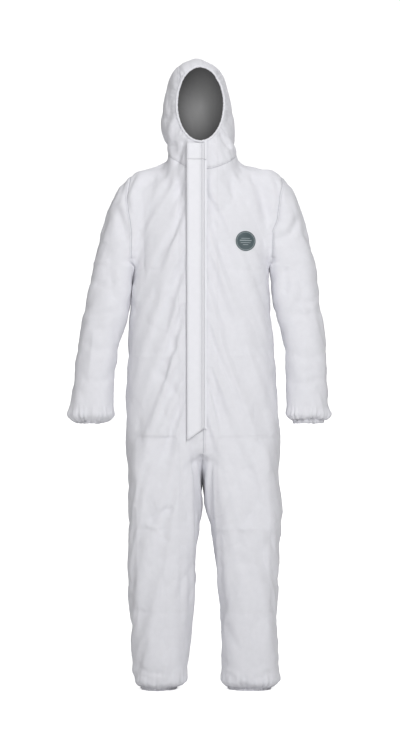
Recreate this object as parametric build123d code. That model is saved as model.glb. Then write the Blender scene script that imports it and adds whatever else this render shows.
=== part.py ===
from build123d import *
from math import cos, sin, radians, tan
import os

# Hooded disposable protective coverall, worn shape, standing, front towards -Y, wearer's left at +X.
# Origin on the ground plane between the two leg hems, +Z up, millimetres.
# Every fabric piece is a thin closed shell. Fold lines at hips, knees, elbows, armholes and neck
# part the fabric into bodies that turn about the crease where the real fabric folds.

# Fabric and clearances
fabric = 2.0            # drawn thickness of the non-woven fabric
fold_gap = 1.0          # open gap along every fold line between two bodies
tuck = 0.3              # clearance between pieces that lie against each other
elastic_height = 9.0    # width of the woven elastic in cuffs and ankles
elastic_thickness = 2.4

# Heights
hem_height = 16.0       # ankle and cuff casing
shin_length = 432.0
thigh_length = 202.0
trunk_length = 782.0    # hip fold to shoulder point
neck_rise = 62.0        # shoulder point to the back of the neck seam
neck_drop = 36.0        # back of the neck seam to its front
hood_height = 255.0     # back of the neck seam to the crown
zip_start = 88.0        # hip fold to the bottom end of the zip
armhole_drop = 242.0    # shoulder point to the underarm
waist_rise = 290.0      # hip fold to the waist

# Trunk
front_y = -112.0        # straight front line that carries the zip
hip_half = 217.0
hip_back = 122.0
waist_half = 208.0
waist_back = 118.0
chest_half = 189.0
chest_back = 113.0
armhole_x = 190.0       # plane in which the sleeve is set
shoulder_half = 206.0
neck_half = 104.0
neck_back = 80.0

# Legs
leg_gap = 1.0           # from the middle plane to each thigh
knee_x = 115.0
knee_half = 105.0
knee_half_depth = 104.0
calf_x = 121.0
calf_half = 84.0
calf_half_depth = 90.0
ankle_x = 125.0
ankle_half = 79.0
ankle_half_depth = 82.0
ankle_radius = 56.0     # inside of the elastic ankle

# Sleeves
sleeve_tilt = 6.0       # degrees that the arm leans out from vertical
sleeve_head_half_depth = 56.0
underarm_bend = 4.0     # radius of the fold under the arm
upper_arm_half = 60.0
upper_arm_half_depth = 62.0
upper_arm_length = 110.0  # underarm to elbow fold
forearm_length = 308.0  # elbow fold to cuff
elbow_half = 61.0
elbow_half_depth = 62.0
wrist_half = 62.0
wrist_half_depth = 58.0
cuff_radius = 36.0      # inside of the elastic cuff
balloon = 34.0          # height over which a limb narrows to its elastic casing

# Hood
hood_half = 106.0
hood_back = 122.0
crown_half_width = 45.0
face_half_width = 64.5
face_half_height = 101.5
face_rise = 125.0       # back of the neck seam to the middle of the face opening
face_hem_width = 6.0
liner_thickness = 1.0

# Zip and storm flap
zip_x = -12.0
slot_half = 10.0        # half the gap between the front edges that the zip closes
tape_half = 11.5
tape_thickness = 1.0
tape_set_back = 5.8     # front of the fabric to the front of the tape
turn_width = 4.0        # turned-in fabric edge that the tape is sewn to
coil_inner = 0.8
coil_outer = 3.0
coil_height = 2.4
slider_half_width = 5.0
slider_length = 14.0
slider_wall = 1.3
slider_parking = 8.0    # neck seam to the top of the slider at rest
pin_radius = 0.9
pin_clearance = 0.1
tab_width = 5.0
tab_length = 17.0
tab_thickness = 1.2
flap_seam_x = 4.0
flap_free_x = -44.0
flap_stand_off = 3.0    # front of the fabric to the back of the flap
flap_thickness = 1.6
flap_slant = 33.0       # the free edge of the flap hangs this much lower than its seam
flap_overhang = 14.0    # flap reaches below the bottom end of the zip at its seam
strip_width = 6.0       # sewn edge of the flap

# Trim
badge_x = 117.0
badge_rise = 587.0      # hip fold to the middle of the badge
badge_radius = 27.0
badge_thickness = 0.6
label_size = (40.0, 0.6, 26.0)
waist_band_height = 10.0
waist_band_half = 150.0

# Places that follow from the sizes
knee_z = hem_height + shin_length
hip_z = knee_z + thigh_length
shoulder_z = hip_z + trunk_length
underarm_z = shoulder_z - armhole_drop
neck_z = shoulder_z + neck_rise
neck_front_z = neck_z - neck_drop
face_z = neck_z + face_rise
chin_z = face_z - face_half_height - face_hem_width
zip_bottom = hip_z + zip_start
tape_y = front_y + tape_set_back
far = 3000.0

# A station is (z, low x, high x, low y, high y, squareness).


def oval(half_x, half_y, squareness, count=20):
    """Closed outline between an ellipse (squareness 2) and a rounded box (4 and more)."""
    power = 2.0 / squareness
    points = []
    for i in range(count):
        turn = radians(180.0 + 360.0 * i / count)
        c, s = cos(turn), sin(turn)
        x = half_x * abs(c) ** power * (1 if c >= 0 else -1)
        y = half_y * abs(s) ** power * (1 if s >= 0 else -1)
        points.append((x, y))
    return make_face(Spline(points, periodic=True))


def level_oval(station, inset):
    """Outline of one horizontal station, drawn in by inset."""
    z, low_x, high_x, low_y, high_y, squareness = station
    centre = ((low_x + high_x) / 2, (low_y + high_y) / 2, z)
    shape = oval((high_x - low_x) / 2 - inset, (high_y - low_y) / 2 - inset, squareness)
    return Plane(origin=centre) * shape


def skin(stations, inset=0.0):
    """Solid lofted through horizontal stations."""
    return loft([level_oval(station, inset) for station in stations], ruled=True)


def above(shape, z):
    return split(shape, bisect_by=Plane.XY.offset(z), keep=Keep.TOP)


def below(shape, z):
    return split(shape, bisect_by=Plane.XY.offset(z), keep=Keep.BOTTOM)


def in_front(shape, y=0.0):
    return split(shape, bisect_by=Plane(origin=(0, y, 0), z_dir=(0, -1, 0)), keep=Keep.TOP)


def behind(shape, y=0.0):
    return split(shape, bisect_by=Plane(origin=(0, y, 0), z_dir=(0, 1, 0)), keep=Keep.TOP)


def left_of(shape, x=0.0):
    """The part on the wearer's left, at greater x."""
    return split(shape, bisect_by=Plane(origin=(x, 0, 0), z_dir=(1, 0, 0)), keep=Keep.TOP)


def right_of(shape, x=0.0):
    return split(shape, bisect_by=Plane(origin=(x, 0, 0), z_dir=(-1, 0, 0)), keep=Keep.TOP)


def block(low, high):
    """Box between two corners."""
    size = [h - l for l, h in zip(low, high)]
    middle = [(h + l) / 2 for l, h in zip(low, high)]
    return Pos(*middle) * Box(*size)


def mirrored(shape):
    return mirror(shape, about=Plane.YZ)


def drum(centre, direction, radius, height):
    """Cylinder whose middle is at centre."""
    return Plane(origin=centre, z_dir=direction) * Cylinder(radius, height)


# Trunk
def even_station(z, half, low_y, high_y, squareness):
    return (z, -half, half, low_y, high_y, squareness)


def trunk_skin(inset=0.0):
    """Hips to neck as one run of stations, straight down the front for the zip."""
    return skin([
        even_station(hip_z - 20, hip_half, front_y, hip_back, 2.6),
        even_station(hip_z + waist_rise, waist_half, front_y, waist_back, 2.6),
        even_station(underarm_z, chest_half, front_y, chest_back, 3.0),
        even_station(underarm_z + 62, shoulder_half - 2, front_y, chest_back, 3.4),
        even_station(shoulder_z - 50, shoulder_half, front_y, chest_back - 6, 3.2),
        even_station(shoulder_z - 2, shoulder_half - 6, front_y, chest_back - 20, 2.4),
        even_station(shoulder_z + 18, neck_half + 8, front_y, neck_back + 3, 2.4),
        even_station(neck_z + 40, neck_half - 8, front_y, neck_back, 2.5),
    ], inset)


def neck_plane(offset):
    """Plane of the neck seam, low at the front, moved up by offset."""
    slope = neck_drop / (neck_back - front_y)
    return Plane(origin=(0, neck_back, neck_z + offset), z_dir=(0, -slope, 1))


def trunk_open(shape):
    """Cut a trunk shape at the neck seam, the hip folds and both armholes."""
    shape = split(shape, bisect_by=neck_plane(-fold_gap / 2), keep=Keep.BOTTOM)
    shape = above(shape, hip_z + fold_gap / 2)
    return left_of(right_of(shape, armhole_x), -armhole_x)


trunk_outer = trunk_skin()
trunk_shell = trunk_open(trunk_outer - trunk_skin(fabric))


def zip_slot(low_z, high_z):
    return block((zip_x - slot_half, -far, low_z), (zip_x + slot_half, 0, high_z))


def turned_edges(low_z, high_z):
    """Fabric turned back at both front edges, for the tapes to be sewn to."""
    inner = front_y + fabric
    right = block((zip_x - slot_half - turn_width, inner - 0.5, low_z),
                  (zip_x - slot_half, tape_y, high_z))
    left = block((zip_x + slot_half, inner - 0.5, low_z),
                 (zip_x + slot_half + turn_width, tape_y, high_z))
    return right, left


def front_panels():
    """Two front panels, open at the zip, each with its turned-in edge."""
    front = in_front(trunk_shell)
    low, high = zip_bottom, neck_front_z - fold_gap
    slotted = front - zip_slot(low, far)
    left = left_of(slotted, zip_x)
    right = right_of(slotted, zip_x)
    turn_right, turn_left = turned_edges(low, high)
    return left + turn_left, right + turn_right


def waist_elastic():
    """Woven elastic inside the back at the waist."""
    z = hip_z + waist_rise
    band = trunk_skin(fabric + tuck) - trunk_skin(fabric + tuck + elastic_thickness / 2)
    zone = block((-waist_band_half, 0, z), (waist_band_half, far, z + waist_band_height))
    return band & zone


def badge():
    """Round printed badge on the left chest."""
    disc = drum((badge_x, front_y, hip_z + badge_rise), (0, 1, 0), badge_radius, 120)
    return (trunk_skin(-badge_thickness) - trunk_outer) & disc


def care_label():
    width, thickness, height = label_size
    y = neck_back - fabric - 4
    return Pos(0, y - thickness, neck_z - 22 - height / 2) * Box(width, thickness, height)


# Zip
def zip_tapes(low_z, high_z):
    """One tape each side of the zip, wearer's right then left."""
    back = tape_y + tape_thickness
    right = block((zip_x - tape_half, tape_y, low_z), (zip_x - coil_inner, back, high_z))
    left = block((zip_x + coil_inner, tape_y, low_z), (zip_x + tape_half, back, high_z))
    return right, left


def zip_coils(low_z, high_z):
    front = tape_y - coil_height
    right = block((zip_x - coil_outer, front, low_z), (zip_x - coil_inner, tape_y, high_z))
    left = block((zip_x + coil_inner, front, low_z), (zip_x + coil_outer, tape_y, high_z))
    return right, left


def zip_bottom_stop():
    """Clip that joins both coils at the bottom end."""
    front = tape_y - coil_height
    return block((zip_x - coil_outer, front, zip_bottom), (zip_x + coil_outer, tape_y, zip_bottom + 5))


slider_top = neck_front_z - slider_parking
slider_bottom = slider_top - slider_length
slider_front = tape_y - coil_height - tuck - slider_wall
slider_back = tape_y + tape_thickness + tuck + slider_wall
pin_y = slider_front - pin_radius - 0.8
pin_z = slider_top - 4.0


def slider_body():
    """Front and back wings round the coils, joined by the middle post, with a pin for the pull tab."""
    body = block((zip_x - slider_half_width, slider_front, slider_bottom),
                 (zip_x + slider_half_width, slider_back, slider_top))
    coils = block((zip_x - coil_outer - tuck, tape_y - coil_height - tuck, slider_bottom - 1),
                  (zip_x + coil_outer + tuck, tape_y + tape_thickness + tuck, slider_top + 1))
    tapes = block((zip_x - slider_half_width - 1, tape_y - tuck, slider_bottom - 1),
                  (zip_x + slider_half_width + 1, tape_y + tape_thickness + tuck, slider_top + 1))
    post_half = coil_inner - tuck
    post = block((zip_x - post_half, slider_front, slider_bottom), (zip_x + post_half, slider_back, slider_top))
    body = body - coils - tapes + post
    for side in (-1, 1):
        x = zip_x + side * (slider_half_width - 0.8)
        body += block((x - 0.8, pin_y - pin_radius - 0.2, pin_z - 2), (x + 0.8, slider_front, pin_z + 2))
    pin = drum((zip_x, pin_y, pin_z), (1, 0, 0), pin_radius, 2 * slider_half_width - 1)
    return body + pin


def pull_tab():
    """Flat tab that hangs from the slider's pin."""
    ring = drum((zip_x, pin_y, pin_z), (1, 0, 0), pin_radius + pin_clearance + 0.7, tab_width)
    half = tab_thickness / 2
    plate = block((zip_x - tab_width / 2, pin_y - half, pin_z - tab_length),
                  (zip_x + tab_width / 2, pin_y + half, pin_z))
    hole = drum((zip_x, pin_y, pin_z), (1, 0, 0), pin_radius + pin_clearance, tab_width + 2)
    return ring + plate - hole


# Storm flap
flap_back_y = front_y - flap_stand_off
flap_front_y = flap_back_y - flap_thickness
flap_top = neck_front_z - fold_gap


def storm_flap():
    """Double strip of fabric over the zip, hinged on its sewn edge, with a slanted lower end."""
    low = zip_bottom - flap_overhang
    outline = Polyline((flap_free_x, low - flap_slant), (flap_seam_x - 0.5, low),
                       (flap_seam_x - 0.5, flap_top), (flap_free_x, flap_top), close=True)
    face = Plane(origin=(0, flap_back_y, 0), x_dir=(1, 0, 0), z_dir=(0, -1, 0)) * make_face(outline)
    return extrude(face, amount=flap_thickness, dir=(0, -1, 0))


def flap_strip(low_z, high_z):
    """The flap's sewn edge, on the left front panel."""
    return block((flap_seam_x, flap_back_y, low_z), (flap_seam_x + strip_width, front_y - 0.02, high_z))


def chin_flap():
    return block((flap_free_x, flap_front_y, neck_front_z + fold_gap),
                 (flap_seam_x - 0.5, flap_back_y, chin_z - 2))


# Hood
def hood_skin(inset=0.0):
    return skin([
        even_station(neck_front_z - 20, neck_half + 4, front_y, neck_back + 4, 2.5),
        even_station(neck_z + 10, neck_half - 6, front_y, neck_back, 2.5),
        even_station(neck_z + 75, hood_half, front_y, hood_back - 14, 2.4),
        even_station(neck_z + 141, hood_half - 10, front_y + 2, hood_back, 2.4),
        even_station(neck_z + 196, hood_half - 24, front_y + 12, hood_back - 7, 2.3),
        even_station(neck_z + hood_height - 16, hood_half - 54, front_y + 42, hood_back - 42, 2.2),
        even_station(neck_z + hood_height - inset, hood_half - 90, -20, hood_back - 82, 2.0),
    ], inset)


def face_cut(margin):
    """Oval bar through the front of the hood, margin outside the face opening."""
    bar = Plane(origin=(0, 0, face_z), x_dir=(1, 0, 0), z_dir=(0, -1, 0)) * Ellipse(
        face_half_width + margin, face_half_height + margin)
    return extrude(bar, amount=far, dir=(0, -1, 0))


def hood_open(shape):
    return split(shape, bisect_by=neck_plane(fold_gap / 2), keep=Keep.TOP)


chin_zone = block((-far, -far, 0), (far, 0, face_z))
hood_shell = hood_open(hood_skin() - hood_skin(fabric)) - face_cut(face_hem_width)


def hood_panels():
    """Crown strip from the forehead to the nape, and two side panels that meet at the zip."""
    strip = block((-crown_half_width, -far, 0), (crown_half_width, far, far)) - chin_zone
    crown = hood_shell & strip
    rest = hood_shell - strip
    low, high = neck_front_z + fold_gap, chin_z
    rest -= zip_slot(0, chin_z + face_hem_width)
    turn_right, turn_left = turned_edges(low, high - 1)
    left = left_of(rest, zip_x) + turn_left
    right = right_of(rest, zip_x) + turn_right
    return crown, left, right


def face_hem():
    """Turned edge round the face opening, with its elastic sewn inside."""
    edge = in_front(face_cut(face_hem_width) - face_cut(0))
    hem = (hood_skin(-fabric / 2) - hood_skin(fabric)) & edge
    edge = in_front(face_cut(face_hem_width - 1) - face_cut(1))
    inner = fabric + tuck
    elastic = (hood_skin(inner) - hood_skin(inner + elastic_thickness / 2)) & edge
    return hem, elastic


def hood_liner():
    """Dark inner layer behind the face opening."""
    gap = fabric + tuck
    shell = hood_open(hood_skin(gap) - hood_skin(gap + liner_thickness))
    return shell - face_cut(face_hem_width + 2) - chin_zone


# Sleeves
tilt_x, tilt_z = sin(radians(sleeve_tilt)), cos(radians(sleeve_tilt))
underarm = (armhole_x + 2.0, underarm_z - 7.0)
elbow_centre = (underarm[0] + underarm_bend + upper_arm_length * tan(radians(sleeve_tilt)) + upper_arm_half,
                underarm[1] - upper_arm_length)


def fan_oval(turn, half, half_depth, inset):
    """Sleeve outline whose plane turns about the underarm; 90 degrees is the armhole plane."""
    out_x, out_z = cos(radians(turn)), sin(radians(turn))
    reach = half + underarm_bend
    centre = (underarm[0] + reach * out_x, 0, underarm[1] + reach * out_z)
    plane = Plane(origin=centre, x_dir=(out_x, 0, out_z), z_dir=(out_z, 0, -out_x))
    return plane * oval(half - inset, half_depth - inset, 2.2)


def arm_oval(along, half, half_depth, inset, squareness=2.2):
    """Sleeve outline square to the forearm, at a distance below the elbow fold."""
    centre = (elbow_centre[0] + along * tilt_x, 0, elbow_centre[1] - along * tilt_z)
    plane = Plane(origin=centre, x_dir=(tilt_z, 0, tilt_x), z_dir=(tilt_x, 0, -tilt_z))
    return plane * oval(half - inset, half_depth - inset, squareness)


def elbow_plane(along):
    centre = (elbow_centre[0] + along * tilt_x, 0, elbow_centre[1] - along * tilt_z)
    return Plane(origin=centre, z_dir=(tilt_x, 0, -tilt_z))


def upper_sleeve_skin(inset=0.0):
    head_half = armhole_drop / 2 - 3
    return loft([
        fan_oval(90, head_half, sleeve_head_half_depth, inset),
        fan_oval(45, (head_half + upper_arm_half) / 2 - 7, upper_arm_half_depth, inset),
        fan_oval(0, upper_arm_half, upper_arm_half_depth, inset),
        arm_oval(0, elbow_half, elbow_half_depth, inset),
        arm_oval(12, elbow_half, elbow_half_depth, inset),
    ], ruled=True)


def forearm_skin(inset=0.0):
    return loft([
        arm_oval(-12, elbow_half, elbow_half_depth, inset),
        arm_oval(0, elbow_half, elbow_half_depth, inset),
        arm_oval(forearm_length * 0.5, (elbow_half + wrist_half) / 2, elbow_half_depth - 4, inset),
        arm_oval(forearm_length - balloon, wrist_half, wrist_half_depth, inset),
        arm_oval(forearm_length, cuff_radius + 3 * fabric, cuff_radius + 3 * fabric, inset, 2.0),
    ], ruled=True)


def split_elbow(shape, keep, along):
    return split(shape, bisect_by=elbow_plane(along), keep=keep)


def casing(centre, direction, radius):
    """Elastic casing of a cuff or ankle, with its elastic. The first value is the casing."""
    outer = radius + 3 * fabric
    ring = drum(centre, direction, outer, hem_height) - drum(centre, direction, radius, hem_height + 2)
    middle = radius + 1.5 * fabric
    half = elastic_thickness / 2
    channel = drum(centre, direction, middle + half + 0.1, elastic_height + 0.4)
    channel -= drum(centre, direction, middle - half - 0.1, elastic_height + 2)
    elastic = drum(centre, direction, middle + half, elastic_height)
    elastic -= drum(centre, direction, middle - half, elastic_height + 2)
    return ring - channel, elastic


cuff_along = forearm_length + hem_height / 2
cuff_centre = (elbow_centre[0] + cuff_along * tilt_x, 0, elbow_centre[1] - cuff_along * tilt_z)


def left_sleeve():
    """Pieces of the wearer's left sleeve, by name."""
    upper = split_elbow(upper_sleeve_skin() - upper_sleeve_skin(fabric), Keep.BOTTOM, -fold_gap / 2)
    upper = left_of(upper, armhole_x + fold_gap)
    fore = split_elbow(forearm_skin() - forearm_skin(fabric), Keep.TOP, fold_gap / 2)
    fore = split_elbow(fore, Keep.BOTTOM, forearm_length)
    hem, elastic = casing(cuff_centre, (tilt_x, 0, -tilt_z), cuff_radius)
    return {"upper_sleeve": upper, "forearm_sleeve": fore, "cuff_casing": hem, "cuff_elastic": elastic}


# Legs
def thigh_skin(inset=0.0):
    return skin([
        (knee_z - 20, knee_x - knee_half, knee_x + knee_half, -knee_half_depth, knee_half_depth, 2.5),
        (knee_z + 80, leg_gap + 3, hip_half, front_y + 2, knee_half_depth + 6, 2.8),
        (hip_z, leg_gap, hip_half, front_y, hip_back, 3.0),
        (hip_z + 20, leg_gap, hip_half, front_y, hip_back, 3.0),
    ], inset)


def shin_skin(inset=0.0):
    end = ankle_radius + 3 * fabric
    return skin([
        (hem_height, ankle_x - end, ankle_x + end, -end, end, 2.0),
        (hem_height + balloon, ankle_x - ankle_half, ankle_x + ankle_half,
         -ankle_half_depth, ankle_half_depth, 2.3),
        (hem_height + 229, calf_x - calf_half, calf_x + calf_half, -calf_half_depth, calf_half_depth, 2.4),
        (knee_z, knee_x - knee_half, knee_x + knee_half, -knee_half_depth, knee_half_depth, 2.5),
        (knee_z + 20, knee_x - knee_half, knee_x + knee_half, -knee_half_depth, knee_half_depth, 2.5),
    ], inset)


def left_leg():
    """Pieces of the wearer's left leg, by name."""
    thigh = thigh_skin() - thigh_skin(fabric)
    thigh = below(above(thigh, knee_z + fold_gap / 2), hip_z - fold_gap / 2)
    shin = below(above(shin_skin() - shin_skin(fabric), hem_height), knee_z - fold_gap / 2)
    hem, elastic = casing((ankle_x, 0, hem_height / 2), (0, 0, 1), ankle_radius)
    return {
        "front_thigh_panel": in_front(thigh),
        "back_thigh_panel": behind(thigh),
        "front_shin_panel": in_front(shin),
        "back_shin_panel": behind(shin),
        "ankle_casing": hem,
        "ankle_elastic": elastic,
    }


# The whole suit
def make_suit():
    parts = {}
    parts["front_panel_left"], parts["front_panel_right"] = front_panels()
    back = behind(trunk_shell)
    parts["back_panel_left"], parts["back_panel_right"] = left_of(back), right_of(back)
    parts["waist_elastic"] = waist_elastic()
    parts["chest_badge"] = badge()
    parts["care_label"] = care_label()

    neck_low, neck_high = neck_front_z - fold_gap, neck_front_z + fold_gap
    parts["zip_tape_right"], parts["zip_tape_left"] = zip_tapes(zip_bottom - 8, neck_low)
    parts["zip_coil_right"], parts["zip_coil_left"] = zip_coils(zip_bottom + 5, neck_low)
    parts["zip_bottom_stop"] = zip_bottom_stop()
    parts["slider_body"] = slider_body()
    parts["pull_tab"] = pull_tab()
    parts["storm_flap"] = storm_flap()
    parts["flap_seam_strip"] = flap_strip(zip_bottom - flap_overhang, neck_low)

    parts["hood_crown"], parts["hood_side_left"], parts["hood_side_right"] = hood_panels()
    parts["face_casing"], parts["face_elastic"] = face_hem()
    parts["hood_liner"] = hood_liner()
    parts["chin_zip_tape_right"], parts["chin_zip_tape_left"] = zip_tapes(neck_high, chin_z - 3)
    parts["chin_zip_coil_right"], parts["chin_zip_coil_left"] = zip_coils(neck_high, chin_z - 6)
    parts["chin_flap"] = chin_flap()
    parts["chin_flap_strip"] = flap_strip(neck_high, chin_z - 2)

    for name, shape in {**left_sleeve(), **left_leg()}.items():
        parts[name + "_left"] = shape
        parts[name + "_right"] = mirrored(shape)
    return parts


suit = make_suit()
os.makedirs("parts", exist_ok=True)
for name, shape in suit.items():
    export_step(Compound(children=list(shape.solids())), f"parts/{name}.step")
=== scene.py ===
import math
import bmesh
import bpy
import numpy as np
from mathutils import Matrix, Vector, noise
from mathutils.bvhtree import BVHTree


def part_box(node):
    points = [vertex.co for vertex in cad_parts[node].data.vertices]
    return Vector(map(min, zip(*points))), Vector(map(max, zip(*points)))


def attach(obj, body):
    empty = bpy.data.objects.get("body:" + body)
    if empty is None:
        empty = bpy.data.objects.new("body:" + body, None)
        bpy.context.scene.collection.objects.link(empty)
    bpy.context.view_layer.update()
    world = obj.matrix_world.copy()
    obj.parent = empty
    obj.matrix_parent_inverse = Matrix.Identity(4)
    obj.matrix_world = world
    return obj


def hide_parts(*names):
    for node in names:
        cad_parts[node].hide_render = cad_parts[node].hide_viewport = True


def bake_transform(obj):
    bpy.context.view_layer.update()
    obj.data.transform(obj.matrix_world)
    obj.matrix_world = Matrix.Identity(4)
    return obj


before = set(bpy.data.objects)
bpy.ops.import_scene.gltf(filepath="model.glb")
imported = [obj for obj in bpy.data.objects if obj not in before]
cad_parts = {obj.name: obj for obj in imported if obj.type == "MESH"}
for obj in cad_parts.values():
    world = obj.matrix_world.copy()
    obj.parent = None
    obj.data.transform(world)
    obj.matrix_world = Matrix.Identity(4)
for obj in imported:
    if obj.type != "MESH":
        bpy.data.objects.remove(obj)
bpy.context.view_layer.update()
world = bpy.context.scene
mm = 0.001

# places taken from the CAD pieces
flapLow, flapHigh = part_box("storm_flap")
chinLow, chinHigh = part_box("chin_flap")
badgeLow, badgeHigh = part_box("chest_badge")
coilLow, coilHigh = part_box("zip_coil_right")
cuffLow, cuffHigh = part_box("cuff_casing_left")
ankleLow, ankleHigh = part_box("ankle_casing_left")
neckFront = flapHigh.z
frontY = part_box("front_panel_left")[0].y
hemZ = ankleLow.z
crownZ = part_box("hood_crown")[1].z
print("frame read")

# ---- camera, light and room ----
studio = {
    "distance": 6.0, "viewHeight": 2.079, "aimX": -0.008, "aimZ": 0.873,
    "keyPower": 88, "fillPower": 25, "topPower": 22, "backPower": 42, "ambient": 0.19,
}
lens = bpy.data.cameras.new("camera")
lens.sensor_width = 36
lens.lens = 36 * studio["distance"] / studio["viewHeight"]
lens.clip_end = 100
cameraObject = bpy.data.objects.new("camera", lens)
cameraObject.location = (studio["aimX"], -studio["distance"], studio["aimZ"])
cameraObject.rotation_euler = (math.pi / 2, 0, 0)
world.collection.objects.link(cameraObject)
world.camera = cameraObject
world.view_settings.view_transform = "Standard"
world.view_settings.look = "None"


def areaLight(name, place, aim, size, power, tint=(1, 1, 1)):
    data = bpy.data.lights.new(name, "AREA")
    data.shape = "RECTANGLE"
    data.size, data.size_y = size
    data.energy = power
    data.color = tint
    lamp = bpy.data.objects.new(name, data)
    lamp.location = place
    lamp.rotation_euler = (Vector(aim) - Vector(place)).to_track_quat("-Z", "Y").to_euler()
    lamp.visible_camera = False
    world.collection.objects.link(lamp)
    return lamp


areaLight("keyLight", (1.1, -3.6, 2.6), (0, 0, 1.05), (1.1, 1.5), studio["keyPower"])
areaLight("fillLight", (-2.4, -3.0, 2.1), (0, 0, 1.25), (1.4, 1.8), studio["fillPower"])
areaLight("topLight", (0, 0.2, 4.0), (0, 0, 1), (2.5, 2.5), studio["topPower"])
areaLight("backLight", (0.6, 3.4, 2.4), (0, 0, 0.9), (1.4, 1.6), studio["backPower"])
sky = bpy.data.worlds.new("sky")
sky.use_nodes = True
skyNodes, skyLinks = sky.node_tree.nodes, sky.node_tree.links
skyNodes["Background"].inputs["Color"].default_value = (1, 1, 1, 1)
seen = skyNodes.new("ShaderNodeLightPath")
brightness = skyNodes.new("ShaderNodeMix")
brightness.inputs[2].default_value = studio["ambient"]
brightness.inputs[3].default_value = 1.0
skyLinks.new(seen.outputs["Is Camera Ray"], brightness.inputs[0])
skyLinks.new(brightness.outputs[0], skyNodes["Background"].inputs["Strength"])
world.world = sky
print("light and camera set")


# ---- mesh helpers ----
def meshObject(name, verts, faces, smooth=True):
    mesh = bpy.data.meshes.new(name)
    mesh.from_pydata([tuple(map(float, v)) for v in verts], [], [tuple(map(int, f)) for f in faces])
    mesh.update()
    if smooth:
        mesh.polygons.foreach_set("use_smooth", [True] * len(mesh.polygons))
    made = bpy.data.objects.new(name, mesh)
    world.collection.objects.link(made)
    return made


def readPoints(mesh):
    flat = np.empty(len(mesh.vertices) * 3)
    mesh.vertices.foreach_get("co", flat)
    return flat.reshape(-1, 3)


def writePoints(mesh, points):
    mesh.vertices.foreach_set("co", np.asarray(points, np.float32).ravel())
    mesh.update()


def readNormals(mesh):
    flat = np.empty(len(mesh.vertices) * 3)
    mesh.vertices.foreach_get("normal", flat)
    return flat.reshape(-1, 3)


def ramp(value, low, high):
    t = np.clip((value - low) / (high - low), 0, 1)
    return t * t * (3 - 2 * t)


def applied(thing):
    """Replace the object's mesh with what its modifiers make of it."""
    graph = bpy.context.evaluated_depsgraph_get()
    graph.update()
    mesh = bpy.data.meshes.new_from_object(thing.evaluated_get(graph))
    thing.modifiers.clear()
    thing.data = mesh
    return thing


def denseRows(rows, step):
    """Rows (z, lowX, highX, frontY, backY, squareness) filled in at even heights and softened."""
    rows = np.array(sorted(rows), float)
    count = max(4, int((rows[-1, 0] - rows[0, 0]) / step))
    z = np.linspace(rows[0, 0], rows[-1, 0], count)
    filled = np.column_stack([z] + [np.interp(z, rows[:, 0], rows[:, k]) for k in range(1, 6)])
    for _ in range(3):
        filled[1:-1, 1:] = (filled[:-2, 1:] + 2 * filled[1:-1, 1:] + filled[2:, 1:]) / 4
    return filled


def tube(rows, step=8, count=96):
    """Closed tube through level outlines, in millimetres."""
    filled = denseRows(rows, step)
    turn = np.linspace(0, 2 * np.pi, count, endpoint=False)
    c, s = np.cos(turn), np.sin(turn)
    verts = []
    for z, lowX, highX, frontSide, backSide, squareness in filled:
        power = 2 / squareness
        x = (lowX + highX) / 2 + (highX - lowX) / 2 * np.sign(c) * np.abs(c) ** power
        y = (frontSide + backSide) / 2 + (backSide - frontSide) / 2 * np.sign(s) * np.abs(s) ** power
        verts.append(np.column_stack([x, y, np.full(count, z)]))
    n = len(filled)
    faces = [(i * count + k, i * count + (k + 1) % count, (i + 1) * count + (k + 1) % count, (i + 1) * count + k)
             for i in range(n - 1) for k in range(count)]
    faces.append(tuple(reversed(range(count))))
    faces.append(tuple((n - 1) * count + k for k in range(count)))
    return np.vstack(verts) * mm, faces


# ---- the suit's shape: level outlines in millimetres ----
trunkRows = [
    (652, -214, 215, -100, 108, 2.8), (672, -217, 217, -110, 118, 2.7), (720, -217, 217, -113, 121, 2.6),
    (800, -217, 210, -113, 121, 2.6), (860, -216, 207, -113, 120, 2.5), (940, -211, 202, -113, 117, 2.5),
    (1000, -208, 198, -113, 115, 2.5), (1090, -203, 189, -112, 113, 2.5), (1160, -198, 187, -111, 112, 2.6),
    (1250, -194, 190, -110, 112, 2.6), (1330, -192, 196, -108, 110, 2.5), (1390, -190, 200, -98, 104, 2.4),
    (1420, -192, 204, -88, 96, 2.3), (1438, -188, 200, -74, 84, 2.2), (1450, -174, 186, -58, 70, 2.2),
    (1459, -150, 156, -44, 58, 2.2), (1463, -120, 124, -30, 44, 2.0),
]
hoodRows = [
    (1370, -96, 94, -104, 88, 2.3), (1440, -97, 92, -108, 82, 2.4), (1470, -94, 90, -110, 80, 2.4),
    (1482, -94, 95, -111, 82, 2.4), (1512, -104, 90, -112, 92, 2.3), (1546, -116, 88, -112, 102, 2.3),
    (1590, -116, 87, -112, 113, 2.3), (1629, -108, 77, -110, 119, 2.3), (1662, -102, 70, -105, 118, 2.3),
    (1696, -94, 60, -95, 110, 2.2), (1720, -80, 46, -80, 98, 2.1), (1737, -58, 26, -58, 76, 2.0),
    (1746, -38, 6, -34, 50, 2.0), (1749, -24, -6, -14, 26, 2.0),
]
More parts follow.
